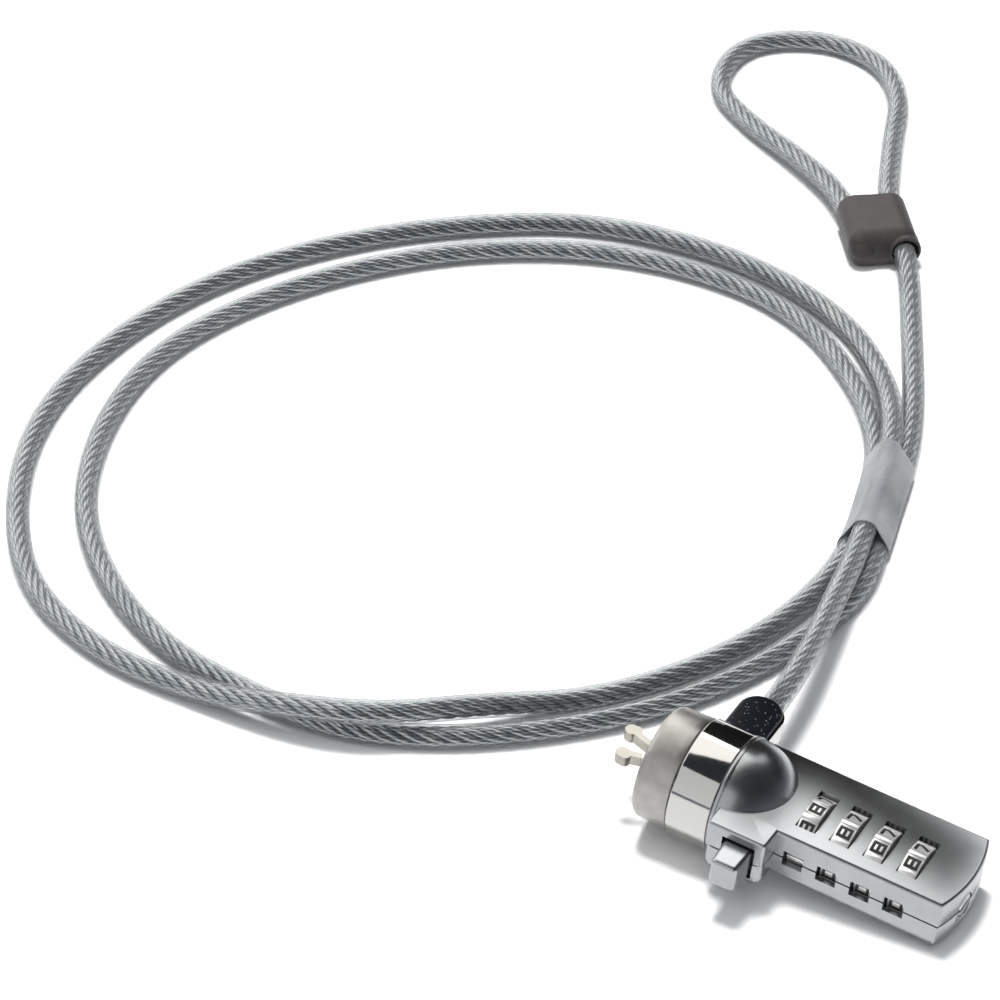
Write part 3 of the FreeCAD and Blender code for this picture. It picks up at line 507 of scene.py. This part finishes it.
def band_piece():
    """Closed sleeve with a wall, from the hull of the three passes at each station."""
    stations, around = 40, 72
    skin = CABLE_DIAMETER / 2 + BAND_GAP
    vertices, faces = [], []
    for offset in (0.0, -BAND_WALL):
        for n in range(stations):
            along = -BAND_HALF + 2 * BAND_HALF * n / (stations - 1)
            places = strand_places(along)
            for k in range(around):
                turn = 2 * math.pi * k / around
                nx, nz = math.cos(turn), math.sin(turn)
                cx, cz = max(places, key=lambda c: c[0] * nx + c[1] * nz)
                slack = BAND_SLACK * math.sin(3 * turn + 9 * n / stations)
                reach = skin + offset + slack
                spot = BAND_MIDDLE + BAND_AIM * along + BAND_ACROSS * (cx + nx * reach)
                vertices.append((spot.x, spot.y, max(FLOOR_GAP, cz + nz * reach)))
    for layer in range(2):
        base = layer * stations * around
        for n in range(stations - 1):
            for k in range(around):
                ring = (base + n * around + k, base + n * around + (k + 1) % around,
                        base + (n + 1) * around + (k + 1) % around, base + (n + 1) * around + k)
                faces.append(ring if layer == 0 else tuple(reversed(ring)))
    inner = stations * around
    for n in (0, stations - 1):
        for k in range(around):
            after = (k + 1) % around
            rim = (n * around + k, n * around + after, inner + n * around + after, inner + n * around + k)
            faces.append(rim if n else tuple(reversed(rim)))
    return mesh_piece("band_film_sleeve", vertices, faces, band_film, "collar")


band = band_piece()
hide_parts("tie_band")

# ---- numbers on the wheels: painted strokes laid on each panel ----

# Each number is a set of strokes on a grid 4 wide and 6 tall, from its lower left corner.
# The grid's width runs round the rim and its height along the axis.
STROKES = {
    0: [((0, 0), (4, 0)), ((4, 0), (4, 6)), ((4, 6), (0, 6)), ((0, 6), (0, 0))],
    1: [((2.2, 0), (2.2, 6)), ((2.2, 6), (1, 5))],
    2: [((0, 6), (4, 6)), ((4, 6), (4, 3)), ((4, 3), (0, 3)), ((0, 3), (0, 0)), ((0, 0), (4, 0))],
    3: [((0, 6), (4, 6)), ((4, 6), (4, 0)), ((4, 0), (0, 0)), ((0.8, 3), (4, 3))],
    4: [((0, 6), (0, 3)), ((0, 3), (4, 3)), ((4, 6), (4, 0))],
    5: [((4, 6), (0, 6)), ((0, 6), (0, 3)), ((0, 3), (4, 3)), ((4, 3), (4, 0)), ((4, 0), (0, 0))],
    6: [((4, 6), (0, 6)), ((0, 6), (0, 0)), ((0, 0), (4, 0)), ((4, 0), (4, 3)), ((4, 3), (0, 3))],
    7: [((0, 6), (4, 6)), ((4, 6), (4, 4)), ((4, 4), (1.6, 0))],
    8: [((0, 0), (4, 0)), ((4, 0), (4, 6)), ((4, 6), (0, 6)), ((0, 6), (0, 0)), ((0, 3), (4, 3))],
    9: [((4, 3), (0, 3)), ((0, 3), (0, 6)), ((0, 6), (4, 6)), ((4, 6), (4, 0)), ((4, 0), (0, 0))],
}
NUMBER_WIDE, NUMBER_TALL, STROKE_HALF = 1.95, 1.65, 0.27
STROKE_TOP, STROKE_FOOT, STROKE_STEP = 0.07, -0.1, 0.4
FIRST_CELL, CELL_STEP, FIRST_NUMBER = 21.0, 36, 8


def wheel_numbers(n):
    """Painted numbers of wheel n, laid on its rim."""
    centre_x = WHEEL_FIRST + WHEEL_PITCH * n
    half_step = -CELL_STEP / 2 if n == 0 else 0.0
    panel = WHEEL_RADIUS - CELL_DEPTH
    vertices, faces = [], []

    def on_rim(x, arc, height):
        """x along the axis, arc round the rim towards the front in mm, height above the panel."""
        turn = arc / WHEEL_RADIUS
        reach = panel + height
        return head_point(centre_x + x, WHEEL_Y - reach * math.sin(turn), reach * math.cos(turn))

    def stroke(a, b, cell_arc):
        """Flat bar with square ends from a to b, both (right, up) in the number's own plane."""
        ax, ay, bx, by = *a, *b
        length = math.hypot(bx - ax, by - ay)
        dx, dy = (bx - ax) / length * STROKE_HALF, (by - ay) / length * STROKE_HALF
        steps = max(2, int(length / STROKE_STEP) + 1)
        base = len(vertices)
        for k in range(steps + 1):
            t = k / steps
            px = ax - dx + (bx - ax + 2 * dx) * t
            py = ay - dy + (by - ay + 2 * dy) * t
            for side in (-1, 1):
                right, up = px - dy * side, py + dx * side
                vertices.append(on_rim(-up, cell_arc - right, STROKE_TOP))
                vertices.append(on_rim(-up, cell_arc - right, STROKE_FOOT))
        for k in range(steps):
            q = base + 4 * k
            faces.append((q, q + 2, q + 6, q + 4))
            faces.append((q + 1, q + 5, q + 7, q + 3))
            faces.append((q, q + 4, q + 5, q + 1))
            faces.append((q + 2, q + 3, q + 7, q + 6))
        faces.append((base, base + 1, base + 3, base + 2))
        last = base + 4 * steps
        faces.append((last, last + 2, last + 3, last + 1))

    for cell in range(10):
        number = (FIRST_NUMBER + cell) % 10
        cell_arc = math.radians(FIRST_CELL + half_step + CELL_STEP * cell) * WHEEL_RADIUS
        for start, end in STROKES[number]:
            a, b = [((right / 4 - 0.5) * NUMBER_TALL, (up / 6 - 0.5) * NUMBER_WIDE)
                    for right, up in (start, end)]
            stroke(a, b, cell_arc)
    return mesh_piece(f"wheel_{n + 1}_numbers", vertices, faces, number_paint, f"wheel_{n + 1}",
                      smooth=False)


for n in range(4):
    wheel_numbers(n)

# ---- floor, soft boxes and a graded surround ----

floor_mesh = bpy.data.meshes.new("studio_floor")
floor_mesh.from_pydata([(-3, -3, 0), (3, -3, 0), (3, 3, 0), (-3, 3, 0)], [], [(0, 1, 2, 3)])
floor = bpy.data.objects.new("studio_floor", floor_mesh)
bpy.context.scene.collection.objects.link(floor)
floor_shader = Shader("studio_floor")
floor_tone = floor_shader.noise(floor_shader.place((1, 1, 1)), 6, 2, 0.5)
floor_shader.link(floor_shader.ramp(floor_tone, [(0, (0.86, 0.86, 0.86)), (1, (0.9, 0.9, 0.9))]),
                  floor_shader.surface.inputs["Base Color"])
floor_shader.set(Roughness=0.9)
floor_mesh.materials.append(floor_shader.material)


def softbox(name, place, aim, size, power, in_mirrors, colour=(1, 1, 1)):
    """Rectangular area light that faces a point and is seen only by glossy or only by matt surfaces."""
    data = bpy.data.lights.new(name, "AREA")
    data.shape = "RECTANGLE"
    data.size, data.size_y = size
    data.energy = power
    data.color = colour
    light = bpy.data.objects.new(name, data)
    light.location = place
    light.rotation_euler = (Vector(aim) - Vector(place)).to_track_quat("-Z", "Y").to_euler()
    light.visible_glossy = in_mirrors
    light.visible_diffuse = not in_mirrors
    bpy.context.scene.collection.objects.link(light)


softbox("wide_box", (-0.68, 0.35, 0.72), (0, 0, 0), (1.75, 1.75), 19, True, (1, 0.985, 0.95))
softbox("back_box", (-0.10, 0.84, 0.84), (0, 0, 0), (0.9, 0.6), 2.2, True)
softbox("front_box", (-0.40, -0.98, 0.56), (0, 0, 0), (1.4, 1.05), 4.4, True)
softbox("key_box", (-0.18, 0.13, 1.38), (-0.05, 0.08, 0), (0.32, 0.32), 24, False)
softbox("fill_box", (0.1, -0.4, 1.3), (-0.02, 0.03, 0), (1.6, 1.2), 9, False)
softbox("low_box", (0.35, -1.3, 0.55), (0, 0, 0), (0.8, 0.4), 4, False)

# A small black card, seen only by mirror-like surfaces, darkens the dome and the back of the roof.
# It stands across the ray that the roof's middle reflects to the camera.
CARD_AWAY = 30
card_ray = Vector((-0.142, 0.698, 0.702)).normalized()
card_start = head_point(10, -1, SLAB_TOP) + card_ray * CARD_AWAY * MM
card_down = (Vector((0, 1, 0)) - card_ray * card_ray.y).normalized() * MM
card_side = card_down.cross(card_ray).normalized() * MM
if card_side.x < 0:
    card_side = -card_side
card_outline = [(20, -1), (20, 11), (-13, 11), (-13, 17), (-33, 17), (-33, -11), (-13, -11), (-13, -1)]
card_mesh = bpy.data.meshes.new("dark_card")
card_mesh.from_pydata([tuple(card_start + card_side * across + card_down * down)
                       for across, down in card_outline], [], [tuple(range(len(card_outline)))])
card = bpy.data.objects.new("dark_card", card_mesh)
bpy.context.scene.collection.objects.link(card)
card_shader = Shader("dark_card")
card_shader.set(Base_Color=(0.02, 0.02, 0.02, 1), Roughness=1.0, Specular_IOR_Level=0.0)
card_mesh.materials.append(card_shader.material)
card.visible_camera = False
card.visible_diffuse = False
card.visible_shadow = False
card.visible_transmission = False

world = bpy.data.worlds.new("studio")
bpy.context.scene.world = world
world.use_nodes = True
tree = world.node_tree
coords = tree.nodes.new("ShaderNodeTexCoord")
split = tree.nodes.new("ShaderNodeSeparateXYZ")
ramp = tree.nodes.new("ShaderNodeValToRGB")
SKY_TINT = (0.88, 0.97, 1.12)
sky_stops = [(0.0, 0.5), (0.50, 0.35), (0.56, 0.16), (0.80, 0.07), (1.0, 0.05)]
while len(ramp.color_ramp.elements) < len(sky_stops):
    ramp.color_ramp.elements.new(0.5)
for element, (position, value) in zip(ramp.color_ramp.elements, sky_stops):
    element.position = position
    element.color = (*(value * tint for tint in SKY_TINT), 1)
shift_up = tree.nodes.new("ShaderNodeMapRange")
shift_up.inputs["From Min"].default_value = -1
shift_up.inputs["From Max"].default_value = 1
background = tree.nodes["Background"]
background.inputs["Strength"].default_value = 0.9
tree.links.new(coords.outputs["Generated"], split.inputs["Vector"])
tree.links.new(split.outputs["Z"], shift_up.inputs["Value"])
tree.links.new(shift_up.outputs["Result"], ramp.inputs["Fac"])
tree.links.new(ramp.outputs["Color"], background.inputs["Color"])
bpy.context.scene.view_settings.view_transform = "Standard"
